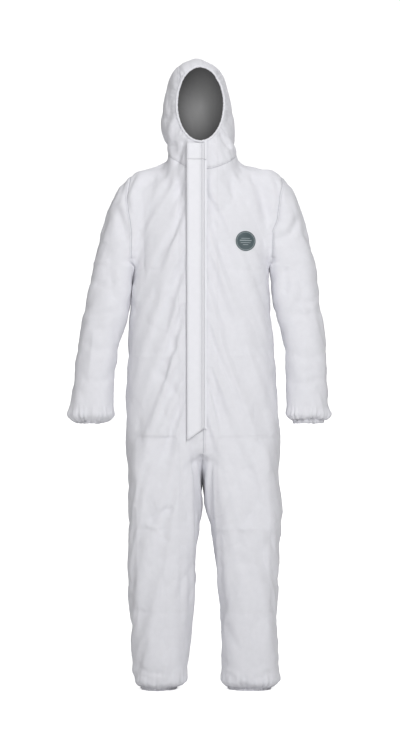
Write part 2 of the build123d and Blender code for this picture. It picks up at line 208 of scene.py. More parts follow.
rightSleeveRows = [
    (1446, -180, -140, -30, 34, 2.0), (1438, -198, -140, -42, 46, 2.0), (1424, -215, -130, -54, 58, 2.1),
    (1404, -232, -125, -62, 66, 2.1), (1379, -246, -125, -66, 70, 2.2), (1346, -264, -130, -68, 72, 2.2),
    (1296, -281, -140, -68, 72, 2.2), (1229, -298, -160, -66, 68, 2.2), (1196, -305, -185, -64, 66, 2.2),
    (1178, -309, -213, -63, 65, 2.2), (1129, -320, -217, -62, 64, 2.2), (1079, -328, -223, -62, 63, 2.2),
    (1038, -339, -225, -62, 62, 2.2), (996, -343, -228, -62, 60, 2.2), (945, -352, -237, -61, 58, 2.2),
    (896, -359, -245, -60, 56, 2.2), (846, -365, -247, -60, 54, 2.2), (796, -371, -249, -60, 52, 2.3),
    (768, -374, -251, -58, 50, 2.3), (757, -371, -254, -54, 47, 2.2), (750, -360, -263, -46, 42, 2.1),
    (746, -346, -277, -36, 34, 2.0), (742, -342, -281, -32, 30, 2.0), (720, -342, -281, -32, 30, 2.0),
]
leftSleeveRows = [
    (1449, 196, 150, -30, 34, 2.0), (1440, 213, 150, -42, 46, 2.0), (1428, 226, 145, -54, 58, 2.1),
    (1412, 240, 140, -62, 66, 2.1), (1396, 254, 135, -66, 70, 2.2), (1362, 267, 135, -68, 72, 2.2),
    (1296, 288, 145, -68, 72, 2.2), (1229, 306, 160, -66, 68, 2.2), (1196, 313, 180, -64, 66, 2.2),
    (1178, 317, 205, -63, 65, 2.2), (1129, 323, 207, -62, 64, 2.2), (1079, 330, 211, -62, 63, 2.2),
    (1038, 336, 218, -62, 62, 2.2), (996, 340, 224, -62, 60, 2.2), (945, 344, 229, -61, 58, 2.2),
    (896, 347, 231, -60, 56, 2.2), (846, 350, 232, -60, 54, 2.2), (796, 353, 234, -60, 52, 2.3),
    (768, 354, 234, -58, 50, 2.3), (757, 351, 237, -54, 47, 2.2), (750, 341, 246, -46, 42, 2.1),
    (746, 328, 258, -36, 34, 2.0), (742, 325, 262, -32, 30, 2.0), (720, 325, 262, -32, 30, 2.0),
]
rightLegRows = [
    (690, -213, -12, -104, 112, 2.6), (640, -217, -11, -111, 119, 2.8), (590, -216, -11, -110, 116, 2.8),
    (512, -216, -11, -106, 110, 2.7), (478, -216, -12, -104, 107, 2.6), (445, -217, -13, -103, 105, 2.5),
    (428, -220, -15, -104, 104, 2.5), (395, -215, -16, -102, 101, 2.4), (295, -209, -18, -95, 94, 2.4),
    (228, -206, -28, -91, 90, 2.3), (161, -201, -35, -88, 87, 2.3), (95, -197, -39, -85, 84, 2.3),
    (58, -198, -40, -84, 83, 2.3), (34, -190, -44, -80, 79, 2.2), (20, -182, -58, -72, 71, 2.1),
    (11, -174, -70, -62, 61, 2.0), (4, -168, -78, -55, 55, 2.0), (-20, -168, -78, -55, 55, 2.0),
]
leftLegRows = [
    (690, 213, 12, -104, 112, 2.6), (640, 217, 11, -111, 119, 2.8), (590, 220, 12, -110, 116, 2.8),
    (512, 229, 15, -106, 110, 2.7), (478, 230, 19, -104, 107, 2.6), (445, 230, 23, -103, 105, 2.5),
    (428, 222, 26, -104, 104, 2.5), (395, 217, 31, -102, 101, 2.4), (295, 210, 42, -95, 94, 2.4),
    (228, 207, 52, -91, 90, 2.3), (161, 209, 53, -88, 87, 2.3), (95, 213, 51, -85, 84, 2.3),
    (58, 213, 53, -84, 83, 2.3), (34, 212, 54, -80, 79, 2.2), (20, 202, 60, -72, 71, 2.1),
    (11, 190, 66, -62, 61, 2.0), (4, 184, 74, -55, 55, 2.0), (-20, 184, 74, -55, 55, 2.0),
]
shell = {
    "voxel": 0.0075, "smoothing": 8, "faceX": -7 * mm, "faceZ": 1612 * mm, "faceHalfX": 64 * mm,
    "faceHalfZ": 104 * mm, "cuffCut": 744 * mm,
}


def buildShell():
    verts, faces, start = [], [], 0
    for rows in (trunkRows, hoodRows, rightSleeveRows, leftSleeveRows, rightLegRows, leftLegRows):
        ordered = [(r[0], min(r[1], r[2]), max(r[1], r[2]), r[3], r[4], r[5]) for r in rows]
        v, f = tube(ordered)
        verts.append(v)
        faces += [tuple(i + start for i in face) for face in f]
        start += len(v)
    made = meshObject("shell", np.vstack(verts), faces)
    remesh = made.modifiers.new("remesh", "REMESH")
    remesh.mode = "VOXEL"
    remesh.voxel_size = shell["voxel"]
    return applied(made)


def faceRadius(x, z):
    return np.hypot((x - shell["faceX"]) / shell["faceHalfX"], (z - shell["faceZ"]) / shell["faceHalfZ"])


def cutShell(thing):
    """Open the hems, cuffs and face."""
    work = bmesh.new()
    work.from_mesh(thing.data)
    zones = [
        (lambda p: p.z < 0.03, (0, 0, hemZ + mm), (0, 0, -1)),
        (lambda p: p.z < 0.78 and p.x < -0.222 and p.z > 0.68, (0, 0, shell["cuffCut"]), (0, 0, -1)),
        (lambda p: p.z < 0.78 and p.x > 0.2205 and p.z > 0.68, (0, 0, shell["cuffCut"]), (0, 0, -1)),
    ]
    for inside, place, out in zones:
        chosen = [f for f in work.faces if all(inside(v.co) for v in f.verts)]
        geometry = list({v for f in chosen for v in f.verts}) + list({e for f in chosen for e in f.edges}) + chosen
        bmesh.ops.bisect_plane(work, geom=geometry, plane_co=place, plane_no=out, clear_outer=True)
    gone = [f for f in work.faces if f.calc_center_median().y < 0
            and faceRadius(f.calc_center_median().x, f.calc_center_median().z) < 1.0]
    bmesh.ops.delete(work, geom=gone, context="FACES")
    for v in work.verts:
        if v.is_boundary and v.co.z > 1.4:
            r = faceRadius(v.co.x, v.co.z)
            v.co.x = shell["faceX"] + (v.co.x - shell["faceX"]) / r
            v.co.z = shell["faceZ"] + (v.co.z - shell["faceZ"]) / r
    work.to_mesh(thing.data)
    work.free()
    thing.data.update()


class Net:
    """Edges of a mesh, for smoothing and for finding its open rims."""

    def __init__(self, mesh):
        edges = np.empty(len(mesh.edges) * 2, int)
        mesh.edges.foreach_get("vertices", edges)
        self.a, self.b = edges.reshape(-1, 2).T
        self.count = len(mesh.vertices)
        self.degree = np.bincount(self.a, minlength=self.count) + np.bincount(self.b, minlength=self.count)
        uses = np.zeros(len(mesh.edges), int)
        loops = np.empty(len(mesh.loops), int)
        mesh.loops.foreach_get("edge_index", loops)
        np.add.at(uses, loops, 1)
        self.rim = np.zeros(self.count, bool)
        self.rim[self.a[uses == 1]] = True
        self.rim[self.b[uses == 1]] = True

    def average(self, values):
        total = np.zeros_like(values)
        np.add.at(total, self.a, values[self.b])
        np.add.at(total, self.b, values[self.a])
        return total / np.maximum(self.degree, 1).reshape((-1,) + (1,) * (values.ndim - 1))

    def smooth(self, points, times, strength=0.6, back=0.62):
        """Smooth without shrinking; the rims stay."""
        for _ in range(times):
            for step in (strength, -back):
                moved = points + step * (self.average(points) - points)
                moved[self.rim] = points[self.rim]
                points = moved
        return points


def closeGaps(points):
    """Bring the legs together down to the knees, and the sleeves back beside the trunk."""
    x, y, z = (points[:, k].copy() for k in range(3))
    near = (1 - ramp(np.abs(x), 0.014, 0.075)) * (1 - ramp(z, 0.648, 0.672))
    near *= np.where(x < 0, ramp(z, 0.38, 0.50), ramp(z, 0.43, 0.53))
    x -= np.sign(x - 0.001) * near * 0.0116
    for side, trunkEdge, tip, shift in ((-1, 0.203, 0.33, 0.022), (1, 0.193, 0.33, 0.016)):
        reach = side * x
        sleeve = reach > trunkEdge + 0.009
        part = (1 - ramp(reach, trunkEdge + 0.012, tip)) * (1 - ramp(z, 1.178, 1.192)) * ramp(z, 0.96, 1.08)
        x = np.where(sleeve, x - side * shift * part, x)
    # fuller between the thighs, straighter outside the knees
    middle = 0.007 * np.exp(-(np.abs(x) / 0.030) ** 2) * ramp(z, 0.53, 0.60) * (1 - ramp(z, 0.668, 0.70))
    y += np.sign(y) * middle * ramp(np.abs(y), 0.015, 0.05)
    outside = ramp(np.abs(x), 0.15, 0.22) * ramp(z, 0.36, 0.43) * (1 - ramp(z, 0.56, 0.66))
    x -= np.sign(x) * outside * 0.007
    return np.column_stack([x, y, z])


body = buildShell()
cutShell(body)
net = Net(body.data)
points = net.smooth(readPoints(body.data), shell["smoothing"])
writePoints(body.data, closeGaps(points))
print("shell", len(body.data.vertices))

def sleeveLabels(mesh):
    """-1 on the right sleeve below the underarm, 1 on the left one, 0 elsewhere, followed up from the cuffs."""
    points = readPoints(mesh)
    beside = [[] for _ in range(len(points))]
    for a, b in zip(net.a.tolist(), net.b.tolist()):
        beside[a].append(b)
        beside[b].append(a)
    cuffs = np.flatnonzero(net.rim & (points[:, 2] > 0.72) & (points[:, 2] < 0.77))
    height = 1.180
    while True:
        labels = np.zeros(len(points))
        labels[cuffs] = np.sign(points[cuffs, 0])
        waiting = cuffs.tolist()
        below = points[:, 2] < height
        while waiting:
            now = waiting.pop()
            for other in beside[now]:
                if labels[other] == 0 and below[other]:
                    labels[other] = labels[now]
                    waiting.append(other)
        if not (labels[np.abs(points[:, 0]) < 0.15] != 0).any():
            break
        height -= 0.003    # the sleeve still joins the trunk here
    print("sleeves part from the trunk below", round(height, 3))
    return labels


limb = body.data.attributes.new("limb", "FLOAT", "POINT")
limb.data.foreach_set("value", sleeveLabels(body.data).astype(np.float32))

# ---- cloth simulation ----
slack = {"growth": -0.024, "frames": 20, "bend": 2.0, "hold": 0.10, "cap": 0.010, "gravity": 0.5}


def flapZone(x, z):
    """1 where the fabric lies flat under the storm flap."""
    across = 1 - ramp(np.abs(x + 0.019), 0.021, 0.028)
    return across * ramp(z, 0.69, 0.73) * (1 - ramp(z, 1.50, 1.515))


def simulate(thing):
    """Give the fabric a little slack and let it buckle near its shape."""
    mesh = thing.data
    start = readPoints(mesh)
    normals = readNormals(mesh)
    front = ramp(-normals[:, 1], 0.2, 0.6)
    hold = np.full(len(start), slack["hold"])
    hold = np.maximum(hold, flapZone(start[:, 0], start[:, 2]) * front)
    hold = np.maximum(hold, 0.5 * ramp(start[:, 2], 1.45, 1.52))
    hold[net.rim] = 1
    group = thing.vertex_groups.new(name="hold")
    for level in np.unique(np.round(hold, 2)):
        group.add(np.flatnonzero(np.round(hold, 2) == level).tolist(), float(level), "REPLACE")
    cloth = thing.modifiers.new("cloth", "CLOTH")
    cloth.settings.quality = 5
    cloth.settings.mass = 0.15
    cloth.settings.tension_stiffness = 25
    cloth.settings.compression_stiffness = 25
    cloth.settings.shear_stiffness = 12
    cloth.settings.bending_stiffness = slack["bend"]
    cloth.settings.air_damping = 2
    cloth.settings.shrink_min = slack["growth"]
    cloth.settings.vertex_group_mass = "hold"
    cloth.settings.pin_stiffness = 1.0
    cloth.settings.effector_weights.gravity = slack["gravity"]
    cloth.collision_settings.use_collision = False
    for k in range(1, slack["frames"] + 1):
        world.frame_set(k)
    graph = bpy.context.evaluated_depsgraph_get()
    moved = readPoints(thing.evaluated_get(graph).data)
    thing.modifiers.clear()
    world.frame_set(1)
    step = moved - start
    size = np.linalg.norm(step, axis=1)
    print("cloth moved", round(float(size.mean()) * 1000, 2), round(float(size.max()) * 1000, 2), "mm")
    step *= (np.minimum(size, slack["cap"]) / np.maximum(size, 1e-9))[:, None]
    step[net.rim] = 0
    writePoints(mesh, net.smooth(start + step, 1))


simulate(body)


# ---- finer mesh, creases and folds ----
finer = body.modifiers.new("finer", "SUBSURF")
finer.levels = finer.render_levels = 1
applied(body)
net = Net(body.data)
print("finer", len(body.data.vertices))

# points (x, z) in millimetres, then depth (below zero goes in), width, and how sharp the bottom is
frontFolds = [
    # packing creases
    ([(-205, 1159), (-50, 1157)], -1.2, 9, 1), ([(10, 1156), (185, 1160)], -1.0, 9, 1),
    ([(-205, 925), (-140, 918), (-50, 922)], 1.4, 10, 1), ([(10, 921), (200, 926)], 1.1, 10, 1),
    ([(-212, 447), (-8, 449)], -1.5, 11, 1), ([(16, 447), (224, 449)], 1.4, 11, 1),
    ([(-205, 218), (-26, 217)], -1.1, 10, 1), ([(54, 217), (205, 218)], -1.1, 10, 1),
    ([(-164, 1380), (-164, 1090)], -1.2, 9, 1), ([(-183, 700), (-180, 440), (-176, 90)], 1.2, 10, 1),
    ([(178, 700), (182, 440), (178, 90)], 1.2, 10, 1), ([(182, 1090), (184, 760)], -1.0, 10, 1),
    # from the neck to the underarms
    ([(-94, 1438), (-150, 1400), (-192, 1356)], -4.2, 15, 0), ([(-80, 1420), (-120, 1350), (-160, 1290)], -2.0, 18, 0),
    ([(122, 1450), (164, 1357), (186, 1270)], -4.0, 14, 0), ([(100, 1440), (120, 1380), (124, 1330)], -2.2, 16, 0),
    ([(60, 1430), (80, 1360)], -1.6, 14, 0),
    # beside the flap and over the belly
    ([(-66, 1425), (-62, 1340), (-66, 1300)], -2.6, 10, 0), ([(-125, 887), (-90, 840), (-61, 800)], -2.2, 12, 0),
    ([(-97, 995), (-80, 950), (-74, 912)], -1.8, 12, 0), ([(-60, 1060), (-100, 1110)], 1.6, 16, 0),
    ([(40, 1050), (110, 1010)], -1.4, 18, 0), ([(60, 860), (130, 800)], 1.4, 18, 0),
    # sides of the trunk
    ([(186, 1430), (205, 1400), (212, 1362), (203, 1293), (189, 1268), (185, 1138)], -4.0, 9, 0),
    ([(-186, 1440), (-214, 1362), (-200, 1306)], -3.6, 9, 0), ([(-239, 1337), (-208, 1235)], -4.5, 13, 0),
    # knees and shins
    ([(-156, 467), (-120, 488), (-83, 511)], -3.4, 11, 0), ([(-156, 462), (-119, 446)], 2.4, 8, 0),
    ([(94, 450), (140, 452)], 2.2, 9, 0), ([(-60, 400), (-120, 350)], -1.6, 16, 0), ([(70, 390), (130, 340)], -1.6, 16, 0),
    ([(58, 194), (80, 150), (103, 106)], -2.2, 12, 0), ([(-190, 72), (-150, 52), (-100, 50)], -2.4, 9, 0),
    ([(-176, 46), (-130, 30), (-90, 32)], -2.0, 8, 0), ([(61, 50), (95, 30), (130, 12)], -2.0, 9, 0),
    ([(190, 60), (160, 40), (130, 34)], -2.0, 9, 0), ([(-60, 620), (-130, 570)], -1.6, 20, 0),
    ([(60, 640), (140, 590)], -1.6, 20, 0), ([(-14, 640), (-60, 600)], -2.0, 12, 0), ([(20, 640), (60, 600)], -2.0, 12, 0),
    # wearer's right sleeve
    ([(-305, 1120), (-262, 1118), (-238, 1128)], -2.6, 11, 0), ([(-322, 1034), (-280, 1036), (-240, 1048)], -2.8, 11, 0),
    ([(-270, 1240), (-300, 1190)], -2.0, 14, 0), ([(-330, 960), (-290, 940), (-250, 944)], -1.8, 13, 0),
    ([(-340, 862), (-300, 850), (-262, 858)], -1.8, 12, 0), ([(-300, 1000), (-310, 900), (-316, 820)], 1.5, 12, 1),
    # wearer's left sleeve
    ([(197, 1238), (242, 1260), (270, 1315)], -4.5, 12, 0), ([(226, 1170), (228, 1120), (222, 1090)], -4.0, 12, 0),
    ([(240, 1075), (280, 1068), (325, 1080)], -2.4, 10, 0), ([(236, 1040), (280, 1034), (322, 1046)], -2.2, 10, 0),
    ([(283, 1000), (287, 900), (288, 810)], 1.5, 12, 1), ([(240, 930), (290, 915), (330, 925)], -1.8, 12, 0),
    ([(235, 852), (285, 846), (335, 862)], -1.8, 12, 0),
    # hood
    ([(-80, 1512), (-78, 1470), (-70, 1440)], -4.0, 10, 0), ([(-96, 1500), (-88, 1540), (-82, 1570)], 3.0, 10, 0),
    ([(-54, 1518), (-70, 1452)], -3.6, 9, 0), ([(44, 1532), (74, 1490)], -3.4, 9, 0), ([(74, 1520), (80, 1486)], 3.0, 8, 0),
    ([(-100, 1640), (-92, 1590), (-100, 1560)], -2.4, 10, 0), ([(78, 1600), (72, 1560)], -2.0, 10, 0),
]
backFolds = [
    ([(-200, 1159), (188, 1159)], -1.2, 9, 1), ([(-205, 720), (205, 720)], -1.4, 9, 1),
    ([(-212, 447), (-8, 449)], -1.5, 10, 1), ([(16, 447), (224, 449)], -1.5, 10, 1),
    ([(-205, 218), (-26, 217)], -1.2, 10, 1), ([(54, 217), (205, 218)], -1.2, 10, 1),
    ([(-120, 1420), (-150, 1330), (-185, 1250)], -4.0, 16, 0), ([(120, 1420), (150, 1330), (185, 1250)], -4.0, 16, 0),
    ([(-60, 1420), (-70, 1340), (-90, 1270)], -2.6, 18, 0), ([(60, 1420), (74, 1330), (96, 1260)], -2.6, 18, 0),
    ([(-160, 1100), (-110, 1040), (-60, 1000)], -3.0, 18, 0), ([(160, 1110), (120, 1050), (70, 1005)], -3.0, 18, 0),
    ([(-150, 860), (-90, 800), (-20, 770)], -3.2, 20, 0), ([(150, 850), (90, 790), (20, 765)], -3.2, 20, 0),
    ([(-14, 700), (-70, 640), (-120, 600)], -3.4, 14, 0), ([(14, 700), (70, 640), (120, 600)], -3.4, 14, 0),
    ([(-180, 520), (-110, 480), (-40, 500)], -3.6, 12, 0), ([(190, 515), (120, 478), (50, 500)], -3.6, 12, 0),
    ([(-180, 400), (-110, 420), (-40, 400)], -3.0, 12, 0), ([(190, 400), (120, 422), (50, 402)], -3.0, 12, 0),
    ([(-190, 90), (-120, 60), (-60, 80)], -2.4, 10, 0), ([(200, 90), (130, 60), (70, 84)], -2.4, 10, 0),
    ([(-60, 1500), (0, 1488), (60, 1500)], -4.0, 12, 0), ([(-80, 1540), (0, 1525), (80, 1540)], -2.6, 12, 0),
    ([(-300, 1090), (-260, 1080), (-225, 1092)], -3.2, 10, 0), ([(300, 1090), (260, 1080), (222, 1092)], -3.2, 10, 0),
    ([(-320, 1040), (-270, 1050), (-235, 1040)], -3.0, 10, 0), ([(320, 1040), (270, 1050), (230, 1040)], -3.0, 10, 0),
]
# the same for the sides, with (y, z)
sideFolds = [
    ([(-60, 1142), (0, 1128), (60, 1150)], -1.3, 14, 0), ([(-60, 1072), (10, 1040), (60, 1056)], -1.3, 14, 0),
    ([(-50, 950), (50, 905)], -1.2, 14, 0), ([(-70, 478), (0, 462), (60, 430)], -1.6, 13, 0), ([(-80, 585), (80, 640)], -1.4, 20, 0),
    ([(-70, 290), (60, 330)], -1.4, 16, 0), ([(-60, 84), (60, 58)], -1.6, 11, 0), ([(-90, 1560), (-20, 1600), (60, 1590)], -2.0, 14, 0),
    ([(-80, 1520), (0, 1505), (70, 1515)], -3.0, 11, 0), ([(-70, 1650), (0, 1680)], -1.6, 14, 0),
    ([(-10, 1380), (-30, 1260), (0, 1180)], -2.0, 16, 0), ([(30, 1330), (14, 1220)], -1.6, 14, 0), ([(-30, 880), (30, 830)], -1.2, 14, 0),
]


foldStrength = 1.7


def foldField(u, z, folds):
    """Height that the folds add at each point."""
    total = np.zeros(len(u))
    for line, depth, width, sharp in folds:
        nearest = np.full(len(u), 1e9)
        along = np.zeros(len(u))
        lengths = [math.dist(line[k], line[k + 1]) for k in range(len(line) - 1)]
        run, whole = 0, sum(lengths)
        for k, length in enumerate(lengths):
            (x0, z0), (x1, z1) = line[k], line[k + 1]
            dx, dz = (x1 - x0) / length, (z1 - z0) / length
            t = np.clip((u - x0) * dx + (z - z0) * dz, 0, length)
            gap = np.hypot(u - x0 - t * dx, z - z0 - t * dz)
            closer = gap < nearest
            nearest = np.where(closer, gap, nearest)
            along = np.where(closer, (run + t) / whole, along)
            run += length
        fade = np.clip(np.minimum(along, 1 - along) * 5 + 0.12, 0, 1)
        shape = np.exp(-nearest / width) if sharp else np.exp(-(nearest / width) ** 2)
        total += depth * fade * shape
    return total * mm * foldStrength


def ruffle(around, pitch, seed):
    """Uneven gathers along a length, from -1 to 1."""
    phase = 2 * np.pi * around / pitch
    return 0.6 * np.sin(phase + 1.3 * np.sin(phase * 0.31 + seed)) + 0.4 * np.sin(phase * 1.63 + seed * 2)


def sculpt(thing):
    mesh = thing.data
    p, n = readPoints(mesh), readNormals(mesh)
    x, y, z = p.T
    flat = flapZone(x, z) * ramp(-n[:, 1], 0.2, 0.6)
    front, rear, side = (ramp(-n[:, 1], 0.15, 0.65), ramp(n[:, 1], 0.15, 0.65), ramp(np.abs(n[:, 0]), 0.45, 0.9))
    lift = foldField(x / mm, z / mm, frontFolds) * front * (1 - flat)
    lift += foldField(x / mm, z / mm, backFolds) * rear
    lift += foldField(y / mm, z / mm, sideFolds) * side * (np.abs(x) > 0.06)
    # pleat over the thighs: the trunk hangs a little over the legs
    deep = ramp(z, 0.700, 0.7035) * (1 - ramp(z, 0.712, 0.770))
    lift += 0.0042 * deep * front * (1 - flat) * (x < -0.01) * ramp(x, -0.190, -0.160)
    lift += 0.0018 * deep * front * (1 - flat) * (x > 0.01)
    # gathers at the elastics
    for sx, low, high in ((-1, 0.742, 0.80), (1, 0.742, 0.80)):
        cuff = (sx * x > 0.218) & (z < 0.82) & (z > 0.735)
        centre = -0.312 if sx < 0 else 0.286
        turn = np.arctan2(y, x - centre)
        lift += np.where(cuff, 0.0040 * ruffle(turn, 0.30, 1.0 + sx) * (1 - ramp(z, 0.756, 0.795)) + 0.0050 * np.exp(-((z - 0.761) / 0.012) ** 2), 0)
    for centre in (-0.122, 0.131):
        leg = (np.abs(x - centre) < 0.10) & (z < 0.12)
        turn = np.arctan2(y, x - centre)
        lift += np.where(leg, 0.0024 * ruffle(turn, 0.27, centre * 9) * (1 - ramp(z, 0.012, 0.070)) + 0.0050 * np.exp(-((z - 0.026) / 0.014) ** 2), 0)
    r = faceRadius(x, z)
    turn = np.arctan2(z - shell["faceZ"], x - shell["faceX"])
    faceNear = front * (z > 1.48) * (1 - ramp(r, 1.08, 1.42)) * ramp(r, 1.0, 1.10)
    lift += 0.0015 * ruffle(turn, 0.19, 3.0) * faceNear * (1 - flat)
    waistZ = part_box("waist_elastic")[0].z + 0.005
    band = np.exp(-(np.abs(z - waistZ) / 0.035) ** 1.3) * rear * (1 - ramp(np.abs(x), 0.135, 0.175))
    lift += band * (0.0036 * ruffle(x, 0.019, 5.0) - 0.0045)
    # grooves and puckers along the seams
    ones, twos = seamGaps(p)
    for gap, along, depth in ((ones[:, 0], z, 1.0), (ones[:, 1], z, 0.7), (ones[:, 2], z, 0.9), (twos[:, 0], y + z, 0.8), (twos[:, 1], x, 1.0)):
        near = np.exp(-np.abs(gap) / 0.010)
        lift += depth * (-0.0016 * np.exp(-(gap / 0.0042) ** 2) + 0.0011 * near * ruffle(along, 0.021, 4.0)) * (1 - flat)
    # small uneven hollows everywhere
    small = np.array([noise.noise(Vector((a * 13, b * 13, c * 9))) + 0.45 * noise.noise(Vector((a * 31, b * 31, c * 24)))
                      for a, b, c in p])
    lift += 0.0024 * small * (1 - flat) * (1 - 0.5 * ramp(z, 1.45, 1.5))
    # crisp crumples, most on the sleeves and shins
    crisp = np.array([abs(noise.noise(Vector((a * 9 + 3, b * 9, c * 6.5)))) + 0.4 * abs(noise.noise(Vector((a * 21, b * 21 + 5, c * 17))))
                      for a, b, c in p])
    where = np.clip(0.75 + 0.30 * ramp(np.abs(x), 0.19, 0.23) + 0.35 * (1 - ramp(z, 0.40, 0.60)), 0, 1.1)
    lift -= 0.0052 * (0.22 - np.minimum(crisp, 0.34)) * where * (1 - flat) * (1 - 0.4 * ramp(z, 1.45, 1.5)) * 2
    p = p + n * lift[:, None]
    # the fabric lies straight under the flap, and is open over the zip
    level = np.full(len(p), frontY + 0.0004)
    p[:, 1] = p[:, 1] * (1 - flat) + level * flat
    zipMiddle = (coilHigh.x + coilHigh.x + 0.0016) / 2
    slot = (1 - ramp(np.abs(x - zipMiddle), 0.0095, 0.0125)) * ramp(z, coilLow.z - 0.012, coilLow.z - 0.004)
    slot *= (1 - ramp(z, chinHigh.z - 0.012, chinHigh.z - 0.004)) * front
    p[:, 1] = np.maximum(p[:, 1], frontY + 0.0112 * slot)
    writePoints(mesh, p)


def armholeX(z, left):
    """Where the sleeve is set in, at each height."""
    heights = [1.10, 1.138, 1.268, 1.293, 1.364, 1.401, 1.429, 1.46]
    if left:
        return np.interp(z, heights, [0.186, 0.186, 0.191, 0.203, 0.213, 0.222, 0.218, 0.198])
    return np.interp(z, heights, [0.196, 0.196, 0.197, 0.200, 0.212, 0.206, 0.196, 0.184])


def neckHeight(y):
    """Height of the neck seam, which rises towards the back."""
    return flapHigh.z + 0.1875 * (y - frontY)


def seamGaps(p):
    """Signed distances to the armhole and side seams, then to the middle, crown and neck seams, in metres."""
    x, y, z = p.T
    hood = (np.abs(x) < 0.135) & (z > neckHeight(y) - 0.02)
    arm = np.where(x > 0, np.abs(x) - armholeX(z, True), np.abs(x) - armholeX(z, False))
    arm = np.where((z > 1.19) & ~hood, arm, np.sign(arm + 1e-9) * 0.05)
    side = np.where(hood, np.sign(y) * 0.05, y - 0.004)
    middle = np.where(((y > 0) | (z < 0.735)) & (z > 0.655) & (z < neckHeight(y)), x - 0.0015, np.sign(x) * 0.05)
    inLeg = z < 0.655
    middle = np.where(inLeg, 0.05 * np.sign(x), middle)
    crown = np.where(hood & (z > 1.60), np.abs(x + 0.012) - 0.052, 0.05 * np.sign(np.abs(x + 0.012) - 0.052))
    crown = np.where(hood & (z > neckHeight(y) + 0.01) & (y > 0.03), np.abs(x + 0.012) - 0.052, crown)
    neckLine = 1.432 + 0.033 * np.minimum(1, np.abs(x) / 0.10) ** 2 + 0.22 * (y - frontY)
    neck = np.where(np.abs(x) < 0.135, z - neckLine, 0.05 * np.sign(z - neckLine))
    return np.column_stack([arm, side, middle]), np.column_stack([crown, neck, np.zeros(len(x))])


seamOne, seamTwo = seamGaps(readPoints(body.data))
restPoints = readPoints(body.data).copy()
sculpt(body)
print("sculpted")
surface = BVHTree.FromObject(body, bpy.context.evaluated_depsgraph_get())


def onFront(x, z, out=0.0):
    """Point on the front of the suit, moved out by a distance."""
    hit = surface.ray_cast(Vector((x, -1, z)), Vector((0, 1, 0)))
    return None if hit[0] is None else hit[0] + Vector((0, -out, 0))


# ---- materials ----
def nodeGroup(name, sockets, build):
    group = bpy.data.node_groups.new(name, "ShaderNodeTree")
    for label, way, kind, value in sockets:
        made = group.interface.new_socket(name=label, in_out=way, socket_type=kind)
        if value is not None:
            made.default_value = value
    ends = group.nodes.new("NodeGroupInput"), group.nodes.new("NodeGroupOutput")
    build(group, *ends)
    return group


def buildNonWoven(group, start, end):
    """Height of bonded fibres, point bonds and paper-like crinkles, and a faint mottle."""
    nodes, links = group.nodes, group.links
    place = nodes.new("ShaderNodeTexCoord")
    bonds = nodes.new("ShaderNodeTexVoronoi")
    bonds.inputs["Scale"].default_value = 620
    fibres = nodes.new("ShaderNodeTexNoise")
    fibres.inputs["Scale"].default_value = 900
    fibres.inputs["Detail"].default_value = 4
    crinkle = nodes.new("ShaderNodeTexNoise")
    crinkle.noise_type = "RIDGED_MULTIFRACTAL"
    crinkle.inputs["Scale"].default_value = 14
    crinkle.inputs["Detail"].default_value = 5
    mottle = nodes.new("ShaderNodeTexNoise")
    mottle.inputs["Scale"].default_value = 70
    mottle.inputs["Detail"].default_value = 6
    for texture in (bonds, fibres, crinkle, mottle):
        links.new(place.outputs["Object"], texture.inputs["Vector"])

    def scaled(socket, factor):
        step = nodes.new("ShaderNodeMath")
        step.operation = "MULTIPLY"
        step.inputs[1].default_value = factor
        links.new(socket, step.inputs[0])
        return step.outputs[0]

    def added(a, b):
        step = nodes.new("ShaderNodeMath")
        step.operation = "ADD"
        links.new(a, step.inputs[0])
        links.new(b, step.inputs[1])
        return step.outputs[0]

    fine = added(scaled(bonds.outputs["Distance"], 0.10), scaled(fibres.outputs["Fac"], 0.12))
    broad = added(scaled(crinkle.outputs["Fac"], 0.95), scaled(mottle.outputs["Fac"], 0.30))
    links.new(added(fine, broad), end.inputs["Height"])
    links.new(mottle.outputs["Fac"], end.inputs["Mottle"])


nonWoven = nodeGroup("nonWoven", [("Height", "OUTPUT", "NodeSocketFloat", None),
                                  ("Mottle", "OUTPUT", "NodeSocketFloat", None)], buildNonWoven)


def fabricMaterial(name, dark, light, roughness=0.8, bump=0.0012, sheen=0.15):
    made = bpy.data.materials.new(name)
    made.use_nodes = True
    nodes, links = made.node_tree.nodes, made.node_tree.links
    shader = nodes["Principled BSDF"]
    grain = nodes.new("ShaderNodeGroup")
    grain.node_tree = nonWoven
    tint = nodes.new("ShaderNodeMix")
    tint.data_type = "RGBA"
    tint.inputs[6].default_value = (*dark, 1)
    tint.inputs[7].default_value = (*light, 1)
    links.new(grain.outputs["Mottle"], tint.inputs[0])
    links.new(tint.outputs[2], shader.inputs["Base Color"])
    raised = nodes.new("ShaderNodeBump")
    raised.inputs["Distance"].default_value = bump
    raised.inputs["Strength"].default_value = 0.8
    links.new(grain.outputs["Height"], raised.inputs["Height"])
    links.new(raised.outputs["Normal"], shader.inputs["Normal"])
    shader.inputs["Roughness"].default_value = roughness
    shader.inputs["Specular IOR Level"].default_value = 0.25
    shader.inputs["Sheen Weight"].default_value = sheen
    return made


